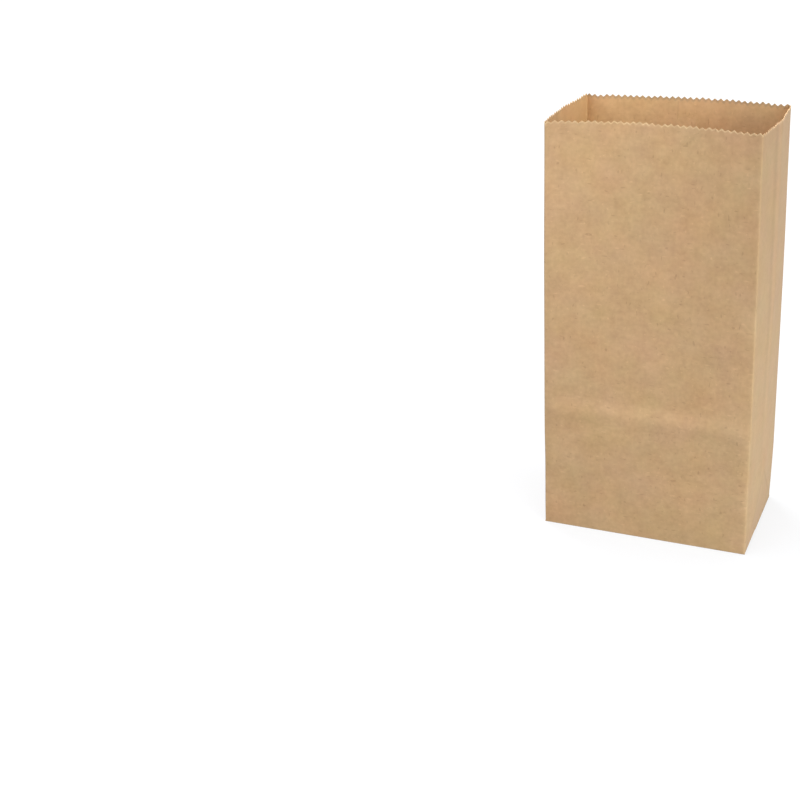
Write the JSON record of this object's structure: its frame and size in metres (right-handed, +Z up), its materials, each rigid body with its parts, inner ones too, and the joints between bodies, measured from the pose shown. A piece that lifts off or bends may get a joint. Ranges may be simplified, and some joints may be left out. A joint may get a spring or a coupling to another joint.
{
  "type": "paper lunch bag",
  "caption": "Open brown kraft paper lunch bag with a flat folded base, gusseted sides and a saw-toothed mouth.",
  "frame": {"origin": "middle of the base, on the surface that the bag stands on", "axes": "+Z up through the mouth, -Y towards the front panel, X along the wide panels"},
  "size_m": [0.133, 0.083, 0.267],
  "materials": {
    "kraft_paper": "matt uncoated kraft paper with visible fibres"
  },
  "bodies": {
    "root": {"paper_bag": "kraft_paper"}
  },
  "joints": []
}
